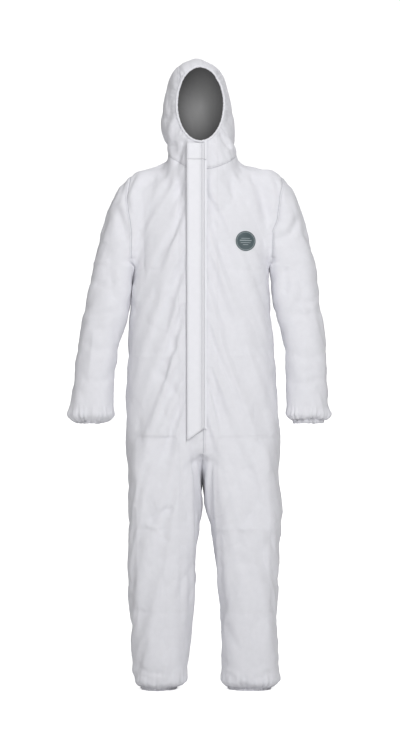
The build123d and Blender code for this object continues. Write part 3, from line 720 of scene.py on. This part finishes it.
def buildSeam(group, start, end):
    """Overlocked seam: a raised edge beside a groove, crossed by stitches. Gap and Along are in metres. Shade is
    painted shade: darkest in the groove, a little along the stitch row.
    """
    nodes, links = group.nodes, group.links

    def step(operation, a, b=None, clamp=False):
        made = nodes.new("ShaderNodeMath")
        made.operation = operation
        made.use_clamp = clamp
        for socket, value in zip(made.inputs, (a, b)):
            if isinstance(value, (int, float)):
                socket.default_value = value
            elif value is not None:
                links.new(value, socket)
        return made.outputs[0]

    gap, along = start.outputs["Gap"], start.outputs["Along"]
    away = step("ABSOLUTE", gap)
    groove = step("SUBTRACT", 1, step("DIVIDE", away, 0.0013), True)
    lap = step("MULTIPLY", step("GREATER_THAN", gap, 0), step("LESS_THAN", gap, 0.0058))
    stitches = step("GREATER_THAN", step("SINE", step("MULTIPLY", along, 2 * math.pi / 0.0034)), 0.1)
    row = step("LESS_THAN", step("ABSOLUTE", step("SUBTRACT", gap, 0.0045)), 0.0007)
    height = step("SUBTRACT", step("MULTIPLY", lap, 0.35), groove)
    links.new(step("ADD", height, step("MULTIPLY", step("MULTIPLY", row, stitches), -0.5)), end.inputs["Height"])
    # painted shade in the seam groove and along the stitch row
    links.new(step("ADD", step("MULTIPLY", groove, 0.8), step("MULTIPLY", row, 0.25), True), end.inputs["Shade"])


seamLine = nodeGroup("seamLine", [("Gap", "INPUT", "NodeSocketFloat", 1.0), ("Along", "INPUT", "NodeSocketFloat", 0.0),
                                  ("Height", "OUTPUT", "NodeSocketFloat", None),
                                  ("Shade", "OUTPUT", "NodeSocketFloat", None)], buildSeam)


def sewnMaterial(name, dark, light):
    """Suit fabric with its seams drawn from the distances stored on the mesh."""
    made = fabricMaterial(name, dark, light)
    nodes, links = made.node_tree.nodes, made.node_tree.links
    shader = nodes["Principled BSDF"]
    for node in nodes:
        if node.type == "GROUP":
            grain = node
    rest = nodes.new("ShaderNodeAttribute")
    rest.attribute_name = "rest"
    restSplit = nodes.new("ShaderNodeSeparateXYZ")
    links.new(rest.outputs["Vector"], restSplit.inputs[0])
    height, shade = None, None
    for label in ("seamOne", "seamTwo"):
        gaps = nodes.new("ShaderNodeAttribute")
        gaps.attribute_name = label
        parts = nodes.new("ShaderNodeSeparateXYZ")
        links.new(gaps.outputs["Vector"], parts.inputs[0])
        for axis in ("X", "Y", "Z") if label == "seamOne" else ("X", "Y"):
            line = nodes.new("ShaderNodeGroup")
            line.node_tree = seamLine
            links.new(parts.outputs[axis], line.inputs["Gap"])
            links.new(restSplit.outputs["X" if (label, axis) == ("seamTwo", "Y") else "Z"], line.inputs["Along"])
            if height is None:
                height, shade = line.outputs["Height"], line.outputs["Shade"]
                continue
            both = []
            for operation, old, new in (("ADD", height, line.outputs["Height"]), ("MAXIMUM", shade, line.outputs["Shade"])):
                join = nodes.new("ShaderNodeMath")
                join.operation = operation
                links.new(old, join.inputs[0])
                links.new(new, join.inputs[1])
                both.append(join.outputs[0])
            height, shade = both
    whole = nodes.new("ShaderNodeMath")
    whole.operation = "ADD"
    links.new(grain.outputs["Height"], whole.inputs[0])
    links.new(height, whole.inputs[1])
    links.new(whole.outputs[0], nodes["Bump"].inputs["Height"])
    # painted shade: the base colour is multiplied darker in the seam grooves and stitch rows
    darker = nodes.new("ShaderNodeMix")
    darker.data_type = "RGBA"
    darker.blend_type = "MULTIPLY"
    darker.inputs[7].default_value = (0.62, 0.62, 0.66, 1)
    links.new(shade, darker.inputs[0])
    links.new(nodes["Mix"].outputs[2], darker.inputs[6])
    links.new(darker.outputs[2], shader.inputs["Base Color"])
    return made


def plainMaterial(name, colour, roughness=0.5):
    made = bpy.data.materials.new(name)
    made.use_nodes = True
    shader = made.node_tree.nodes["Principled BSDF"]
    shader.inputs["Base Color"].default_value = (*colour, 1)
    shader.inputs["Roughness"].default_value = roughness
    return made


suitFabric = sewnMaterial("suitFabric", (0.76, 0.76, 0.80), (0.82, 0.82, 0.86))
hemFabric = fabricMaterial("hemFabric", (0.76, 0.76, 0.80), (0.82, 0.82, 0.86))
flapFabric = sewnMaterial("flapFabric", (0.82, 0.82, 0.86), (0.87, 0.87, 0.91))
stripFabric = fabricMaterial("stripFabric", (0.82, 0.82, 0.86), (0.87, 0.87, 0.91))
elasticFabric = fabricMaterial("elasticFabric", (0.62, 0.62, 0.66), (0.74, 0.74, 0.78))
zipPlastic = plainMaterial("zipPlastic", (0.80, 0.80, 0.84), 0.4)
labelFabric = plainMaterial("labelFabric", (0.80, 0.80, 0.78), 0.6)
threadFabric = plainMaterial("threadFabric", (0.80, 0.80, 0.84), 0.7)


def paintedShadeMaterial():
    """Dark grey sheet of painted shade inside the hood, with a faint painted glow: palest in the middle of the face
    opening, darkest towards its rim.
    """
    # the dark grey base colour is painted shade
    made = fabricMaterial("liningFabric", (0.20, 0.20, 0.205), (0.23, 0.23, 0.235), 0.95, 0.0006, 0.0)
    nodes, links = made.node_tree.nodes, made.node_tree.links
    place = nodes.new("ShaderNodeTexCoord")
    centred = nodes.new("ShaderNodeMapping")
    centred.vector_type = "TEXTURE"
    centred.inputs["Location"].default_value = (shell["faceX"] + 0.003, 0, shell["faceZ"] + 0.020)
    centred.inputs["Scale"].default_value = (0.082, 10, 0.125)
    links.new(place.outputs["Object"], centred.inputs[0])
    away = nodes.new("ShaderNodeTexGradient")
    away.gradient_type = "SPHERICAL"
    links.new(centred.outputs[0], away.inputs[0])
    shade = nodes.new("ShaderNodeMix")
    shade.data_type = "RGBA"
    shade.inputs[6].default_value = (0.035, 0.035, 0.036, 1)
    shade.inputs[7].default_value = (0.26, 0.26, 0.262, 1)
    links.new(away.outputs["Fac"], shade.inputs[0])
    # painted glow: the sheet gives off its own light, palest in the middle, as painted light and shade inside the hood
    links.new(shade.outputs[2], nodes["Principled BSDF"].inputs["Emission Color"])
    nodes["Principled BSDF"].inputs["Emission Strength"].default_value = 0.66
    links.new(shade.outputs[2], nodes["Principled BSDF"].inputs["Base Color"])
    return made


def badgeMaterial():
    """Dark print with a pale ring and three plain bars."""
    made = bpy.data.materials.new("badgePrint")
    made.use_nodes = True
    nodes, links = made.node_tree.nodes, made.node_tree.links
    shader = nodes["Principled BSDF"]
    shader.inputs["Roughness"].default_value = 0.6
    place = nodes.new("ShaderNodeUVMap")
    split = nodes.new("ShaderNodeSeparateXYZ")
    links.new(place.outputs["UV"], split.inputs["Vector"])

    def band(socket, middle, half):
        away = nodes.new("ShaderNodeMath")
        away.operation = "COMPARE"
        away.inputs[1].default_value = middle
        away.inputs[2].default_value = half
        links.new(socket, away.inputs[0])
        return away.outputs[0]

    def joined(operation, a, b):
        step = nodes.new("ShaderNodeMath")
        step.operation = operation
        links.new(a, step.inputs[0])
        links.new(b, step.inputs[1])
        return step.outputs[0]

    u, v = split.outputs["X"], split.outputs["Y"]
    bars = None
    for height, half, width in ((0.26, 0.028, 0.44), (0.06, 0.05, 0.58), (-0.16, 0.028, 0.50), (-0.36, 0.028, 0.26)):
        bar = joined("MULTIPLY", band(v, height, half), band(u, 0.0, width))
        bars = bar if bars is None else joined("MAXIMUM", bars, bar)
    length = nodes.new("ShaderNodeVectorMath")
    length.operation = "LENGTH"
    links.new(place.outputs["UV"], length.inputs[0])
    ink = joined("MAXIMUM", bars, band(length.outputs["Value"], 0.88, 0.02))
    colour = nodes.new("ShaderNodeMix")
    colour.data_type = "RGBA"
    colour.inputs[6].default_value = (0.075, 0.105, 0.115, 1)
    colour.inputs[7].default_value = (0.34, 0.39, 0.41, 1)
    links.new(ink, colour.inputs[0])
    links.new(colour.outputs[2], shader.inputs["Base Color"])
    return made


liningFabric = paintedShadeMaterial()
badgePrint = badgeMaterial()
print("materials made")


# ---- storm flap, chin flap and badge ----
flap = {"waveDepth": 0.0018, "standOff": 0.0062, "thick": 0.0016, "cell": 0.004}


def stripMesh(name, lowX, highX, bottomAt, top, seamX):
    """Strip of doubled fabric that hangs from its seam; bottomAt gives the lower end at each x."""
    columns = int((highX - lowX) / flap["cell"]) + 1
    rows = int((top - bottomAt(lowX)) / flap["cell"]) + 1
    verts = []
    for r in range(rows):
        for c in range(columns):
            x = lowX + (highX - lowX) * c / (columns - 1)
            low = bottomAt(x)
            z = low + (top - low) * r / (rows - 1)
            loose = min(1, (seamX - x) / 0.045)
            wave = noise.noise(Vector((x * 12 + 2, 2, z * 7))) + 0.5 * noise.noise(Vector((x * 30, 2, z * 19)))
            out = flap["standOff"] * (0.75 + 0.25 * loose) + flap["waveDepth"] * wave * loose
            verts.append((x, frontY - out - flap["thick"] / 2, z))
    faces = [(r * columns + c, r * columns + c + 1, (r + 1) * columns + c + 1, (r + 1) * columns + c)
             for r in range(rows - 1) for c in range(columns - 1)]
    made = meshObject(name, verts, faces)
    thick = made.modifiers.new("thick", "SOLIDIFY")
    thick.thickness = flap["thick"]
    thick.offset = 0
    applied(made)
    # sharp edges, so the narrow sides don't shade the face of the strip
    made.data.polygons.foreach_set("use_smooth", [abs(face.normal.y) > 0.5 for face in made.data.polygons])
    return made


seamX = flapHigh.x
slope = (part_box("flap_seam_strip")[0].z - flapLow.z) / (flapHigh.x - flapLow.x)
flapPiece = stripMesh("stormFlap", flapLow.x, seamX,
                      lambda x: flapLow.z + slope * (x - flapLow.x), chinLow.z - 0.0003, seamX)
chinPiece = stripMesh("chinFlap", chinLow.x, seamX, lambda x: chinLow.z, min(chinHigh.z + 0.004, shell["faceZ"] - shell["faceHalfZ"] - 0.0045), seamX)
for piece, low in ((flapPiece, flapLow), (chinPiece, chinLow)):
    points = readPoints(piece.data)
    freeEdge, sewnEdge = points[:, 0] - low.x, seamX - points[:, 0]
    lowEdge = points[:, 2] - low.z - slope * (points[:, 0] - low.x) if piece is flapPiece else np.full(len(points), 0.05)
    edges = np.column_stack([freeEdge + 0.0014, sewnEdge + 0.0014, lowEdge + 0.0014])
    rows = np.column_stack([sewnEdge - 0.0065, np.full(len(points), 0.05), np.zeros(len(points))])
    for label, values in (("rest", points), ("seamOne", edges), ("seamTwo", rows)):
        layer = piece.data.attributes.new(label, "FLOAT_VECTOR", "POINT")
        layer.data.foreach_set("vector", values.astype(np.float32).ravel())
    piece.data.materials.append(flapFabric)


def conformingDisc(name, centreX, centreZ, radius, out, rings=10, count=64):
    verts, uvs = [], []
    for r in range(rings + 1):
        for k in range(count):
            a = 2 * math.pi * k / count
            u, v = r / rings * math.cos(a), r / rings * math.sin(a)
            at = onFront(centreX + radius * u, centreZ + radius * v)
            verts.append(at)
            uvs.append((u, v))
    soft = np.array([list(v) for v in verts])
    grid = soft[:, 1].reshape(rings + 1, count)
    for _ in range(6):
        grid[1:] = (grid[1:] * 2 + np.roll(grid[1:], 1, 1) + np.roll(grid[1:], -1, 1)) / 4
    soft[:, 1] = np.minimum(grid.ravel(), soft[:, 1]) - out
    faces = [(r * count + k, r * count + (k + 1) % count, (r + 1) * count + (k + 1) % count, (r + 1) * count + k)
             for r in range(rings) for k in range(count)]
    made = meshObject(name, soft, faces)
    layer = made.data.uv_layers.new(name="print")
    for corner in made.data.loops:
        layer.data[corner.index].uv = uvs[corner.vertex_index]
    return made


badge = conformingDisc("badge", (badgeLow.x + badgeHigh.x) / 2, (badgeLow.z + badgeHigh.z) / 2, 0.0275, 0.0006)
badge.data.materials.append(badgePrint)
print("flap and badge made")


# ---- casings at the face, cuffs and ankles ----
def ringTube(name, path, radiusAcross, radiusAlong, outwards, count=12):
    """Closed soft tube along a closed path. outwards gives the direction away from the opening at each point."""
    verts, n = [], len(path)
    for k in range(n):
        ahead = (path[(k + 1) % n] - path[k - 1]).normalized()
        out = outwards[k].normalized()
        up = ahead.cross(out).normalized()
        for j in range(count):
            a = 2 * math.pi * j / count
            verts.append(path[k] + out * radiusAcross * math.cos(a) + up * radiusAlong * math.sin(a))
    faces = [(k * count + j, k * count + (j + 1) % count, ((k + 1) % n) * count + (j + 1) % count, ((k + 1) % n) * count + j)
             for k in range(n) for j in range(count)]
    return meshObject(name, verts, faces)


def rimLoop(keep):
    """Points of one open rim of the suit, in order."""
    mesh = body.data
    uses = {}
    for face in mesh.polygons:
        for key in face.edge_keys:
            uses[key] = uses.get(key, 0) + 1
    links = {}
    for (a, b), used in uses.items():
        if used == 1 and keep(mesh.vertices[a].co) and keep(mesh.vertices[b].co):
            links.setdefault(a, []).append(b)
            links.setdefault(b, []).append(a)
    start = min(links)
    order, before, now = [start], None, start
    while True:
        after = [v for v in links[now] if v != before]
        if not after or after[0] == start:
            break
        before, now = now, after[0]
        order.append(now)
    return [mesh.vertices[v].co.copy() for v in order]


def evenPath(path, count, smoothing=6):
    """The closed path with evenly spaced points, softened."""
    p = np.array([list(v) for v in path + path[:1]])
    length = np.concatenate([[0], np.cumsum(np.linalg.norm(np.diff(p, axis=0), axis=1))])
    at = np.linspace(0, length[-1], count, endpoint=False)
    p = np.column_stack([np.interp(at, length, p[:, k]) for k in range(3)])
    for _ in range(smoothing):
        p = (2 * p + np.roll(p, 1, 0) + np.roll(p, -1, 0)) / 4
    return [Vector(v) for v in p], length[-1]


def casing(name, keep, material, across, along, push=0.0, gathers=0.0, pitch=0.009):
    path, length = evenPath(rimLoop(keep), 220)
    middle = sum(path, Vector()) / len(path)
    outwards = [(v - middle) for v in path]
    if gathers:
        path = [v + outwards[k].normalized() * (push + gathers * float(ruffle(k / 220 * length, pitch, 2.0)))
                for k, v in enumerate(path)]
    made = ringTube(name, path, across, along, outwards)
    made.data.materials.append(material)
    return made


faceCasing = casing("faceCasing", lambda v: v.z > 1.4, hemFabric, 0.0034, 0.0024, 0.001, 0.0007, 0.012)
cuffRight = casing("cuffHemRight", lambda v: v.x < -0.2 and 0.6 < v.z < 1, elasticFabric, 0.0030, 0.0075, 0, 0.0012)
cuffLeft = casing("cuffHemLeft", lambda v: v.x > 0.2 and 0.6 < v.z < 1, elasticFabric, 0.0030, 0.0075, 0, 0.0012)
ankleRight = casing("ankleHemRight", lambda v: v.x < 0 and v.z < 0.1, hemFabric, 0.0030, 0.0010, 0, 0.0012)
ankleLeft = casing("ankleHemLeft", lambda v: v.x > 0 and v.z < 0.1, hemFabric, 0.0030, 0.0010, 0, 0.0012)
print("casings made")


# ---- dark sheet inside the hood: painted shade where the hood's inside lies in shadow ----
def paintedShadePiece():
    mesh = body.data
    p, n = readPoints(mesh), readNormals(mesh)
    keepVertex = (p[:, 2] > 1.50) & ~((p[:, 1] < 0) & (faceRadius(p[:, 0], p[:, 2]) < 1.08))
    index = np.cumsum(keepVertex) - 1
    faces = [[index[v] for v in face.vertices] for face in mesh.polygons if all(keepVertex[v] for v in face.vertices)]
    # a sheet 4 mm inside the upper hood, carrying painted shade
    made = meshObject("hoodLining", (p - n * 0.004)[keepVertex], faces)
    made.data.materials.append(liningFabric)
    return made


paintedShadeSheet = paintedShadePiece()


# ---- the shell parted into pieces; blend weights worked out for the jointed ones, the trunk rides the torso ----
def regionOf(c, sleeve):
    """Name of the piece that a face belongs to, from its middle and its sleeve label."""
    x, y, z = c
    side = "Left" if x > 0 else "Right"
    if z > 1.40 and abs(x) < 0.135 and z > neckHeight(y) - 0.022:
        return "hoodShell"
    if z > 1.185:
        return "upperSleeve" + side if abs(x) > (0.196 if x < 0 else 0.200) else "trunkShell"
    if abs(sleeve) > 0.5:
        return ("upperSleeve" if z > 1.125 else "forearmSleeve") + side
    if z > 0.70:
        return "upperSleeve" + side if z > 1.10 and abs(x) > (0.204 if x < 0 else 0.198) else "trunkShell"
    return ("thigh" if z > 0.545 else "shin") + side


def armWeight(x, y, z):
    # the top of the shoulder follows least, or it would fold into the trunk
    out = ramp(np.abs(x), 0.200, 0.285) * (1 - 0.75 * ramp(z, 1.30, 1.43))
    under = 1 - ramp(z, 1.127, 1.195)
    return 1 - (1 - out) * (1 - under)


def elbowWeight(x, y, z):
    return 1 - ramp(z, 1.024, 1.122)


def hipWeight(x, y, z):
    top = 0.652 + 0.046 * ramp(np.abs(x), 0.0, 0.08)
    return 1 - ramp(z - top, -0.105, 0)


def kneeWeight(x, y, z):
    return 1 - ramp(z, 0.398, 0.498)


def hoodWeight(x, y, z):
    return ramp(z - neckHeight(y), -0.020, 0.022)


joints = {
    "hoodShell": ("torso", "hood", hoodWeight),
    "upperSleeveLeft": ("torso", "upper_arm_left", armWeight), "upperSleeveRight": ("torso", "upper_arm_right", armWeight),
    "forearmSleeveLeft": ("upper_arm_left", "forearm_left", elbowWeight),
    "forearmSleeveRight": ("upper_arm_right", "forearm_right", elbowWeight),
    "thighLeft": ("torso", "thigh_left", hipWeight), "thighRight": ("torso", "thigh_right", hipWeight),
    "shinLeft": ("thigh_left", "shin_left", kneeWeight), "shinRight": ("thigh_right", "shin_right", kneeWeight),
}
standsFor = {
    "trunkShell": ["front_panel_left", "front_panel_right", "back_panel_left", "back_panel_right", "waist_elastic"],
    "hoodShell": ["hood_crown", "hood_side_left", "hood_side_right"],
    "upperSleeveLeft": ["upper_sleeve_left"], "upperSleeveRight": ["upper_sleeve_right"],
    "forearmSleeveLeft": ["forearm_sleeve_left", "cuff_elastic_left"],
    "forearmSleeveRight": ["forearm_sleeve_right", "cuff_elastic_right"],
    "thighLeft": ["front_thigh_panel_left", "back_thigh_panel_left"],
    "thighRight": ["front_thigh_panel_right", "back_thigh_panel_right"],
    "shinLeft": ["front_shin_panel_left", "back_shin_panel_left", "ankle_elastic_left"],
    "shinRight": ["front_shin_panel_right", "back_shin_panel_right", "ankle_elastic_right"],
}


def partShell():
    mesh = body.data
    p, normals = readPoints(mesh), readNormals(mesh)
    sleeve = np.empty(len(p))
    mesh.attributes["limb"].data.foreach_get("value", sleeve)
    groups = {}
    for face in mesh.polygons:
        label = sum(sleeve[v] for v in face.vertices) / len(face.vertices)
        groups.setdefault(regionOf(face.center, label), []).append(tuple(face.vertices))
    made = {}
    for name, faces in groups.items():
        used = np.unique(np.concatenate([np.array(f) for f in faces]))
        index = np.full(len(p), -1)
        index[used] = np.arange(len(used))
        piece = meshObject(name, p[used], [tuple(index[v] for v in f) for f in faces])
        piece.data.normals_split_custom_set_from_vertices([tuple(v) for v in normals[used]])
        for label, values in (("rest", restPoints), ("seamOne", seamOne), ("seamTwo", seamTwo)):
            layer = piece.data.attributes.new(label, "FLOAT_VECTOR", "POINT")
            layer.data.foreach_set("vector", values[used].astype(np.float32).ravel())
        piece.data.materials.append(suitFabric)
        made[name] = piece, used
    return made


def blendWeights(name, piece, used, weigh):
    """Weights that are 0 where the piece meets what it hangs from, and 1 where the next piece hangs from it."""
    weights = weigh(*readPoints(piece.data).T)
    held = np.full(len(weights), -1.0)
    parent = {"forearmSleeve": "upperSleeve", "shin": "thigh"}
    for other, (_, theirs) in pieces.items():
        if other == name:
            continue
        shared = np.isin(used, theirs)
        kind, side = name.replace("Left", "").replace("Right", ""), name[-4:]
        child = parent.get(other.replace("Left", "").replace("Right", "")) == kind and other[-4:] == side
        held[shared] = 1 if child else 0
    links = Net(piece.data)
    for _ in range(40):
        weights = np.where(held >= 0, held, weights)
        weights = weights + 0.7 * (links.average(weights) - weights)
    return np.where(held >= 0, held, weights)


pieces = partShell()
bpy.data.objects.remove(body)
for name, (piece, used) in pieces.items():
    if name in joints:
        first, second, weigh = joints[name]
        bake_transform(piece)
        weights = blendWeights(name, piece, used, weigh)
    else:
        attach(piece, "torso")
    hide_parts(*standsFor[name])
    print(name, len(piece.data.vertices))

for piece, bodyName, nodes, slotName in (
        (flapPiece, "storm_flap", ["storm_flap"], None), (chinPiece, "hood", ["chin_flap"], None),
        (badge, "torso", ["chest_badge"], None), (paintedShadeSheet, "hood", ["hood_liner"], None),
        (faceCasing, "hood", ["face_casing", "face_elastic"], "suit_fabric"),
        (cuffLeft, "forearm_left", ["cuff_casing_left"], "elastic"),
        (cuffRight, "forearm_right", ["cuff_casing_right"], "elastic"),
        (ankleLeft, "shin_left", ["ankle_casing_left"], "suit_fabric"),
        (ankleRight, "shin_right", ["ankle_casing_right"], "suit_fabric")):
    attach(piece, bodyName)
    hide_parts(*nodes)

looks = {"slider_body": zipPlastic, "pull_tab": zipPlastic, "zip_bottom_stop": zipPlastic, "care_label": labelFabric,
         "flap_seam_strip": stripFabric, "chin_flap_strip": stripFabric}
for name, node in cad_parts.items():
    if node.hide_render:
        continue
    node.data.materials.clear()
    node.data.materials.append(looks.get(name, zipPlastic if "coil" in name else elasticFabric))


# ---- floor and backdrop ----
def cyclorama():
    profile = [(-9.0, 0.0), (2.6, 0.0)]
    for k in range(1, 13):
        a = math.pi / 2 * k / 12
        profile.append((2.6 + 1.4 * math.sin(a), 1.4 - 1.4 * math.cos(a)))
    profile.append((4.0, 7.0))
    verts = [(x, y, z) for y, z in profile for x in (-9, 9)]
    faces = [(2 * k, 2 * k + 1, 2 * k + 3, 2 * k + 2) for k in range(len(profile) - 1)]
    made = meshObject("backdrop", verts, faces)
    paper = bpy.data.materials.new("paper")
    paper.use_nodes = True
    nodes, links = paper.node_tree.nodes, paper.node_tree.links
    shader = nodes["Principled BSDF"]
    shader.inputs["Base Color"].default_value = (0.85, 0.85, 0.85, 1)
    shader.inputs["Roughness"].default_value = 0.9
    glow = nodes.new("ShaderNodeEmission")
    ray = nodes.new("ShaderNodeLightPath")
    strength = nodes.new("ShaderNodeMath")
    strength.operation = "MULTIPLY"
    strength.inputs[1].default_value = 0.72
    links.new(ray.outputs["Is Camera Ray"], strength.inputs[0])
    links.new(strength.outputs[0], glow.inputs["Strength"])
    both = nodes.new("ShaderNodeAddShader")
    links.new(shader.outputs["BSDF"], both.inputs[0])
    links.new(glow.outputs["Emission"], both.inputs[1])
    # seen from behind, the paper is clear
    clear = nodes.new("ShaderNodeBsdfTransparent")
    facing = nodes.new("ShaderNodeNewGeometry")
    shown = nodes.new("ShaderNodeMixShader")
    links.new(facing.outputs["Backfacing"], shown.inputs[0])
    links.new(both.outputs["Shader"], shown.inputs[1])
    links.new(clear.outputs["BSDF"], shown.inputs[2])
    links.new(shown.outputs["Shader"], nodes["Material Output"].inputs["Surface"])
    made.data.materials.append(paper)
    return made


cyclorama()
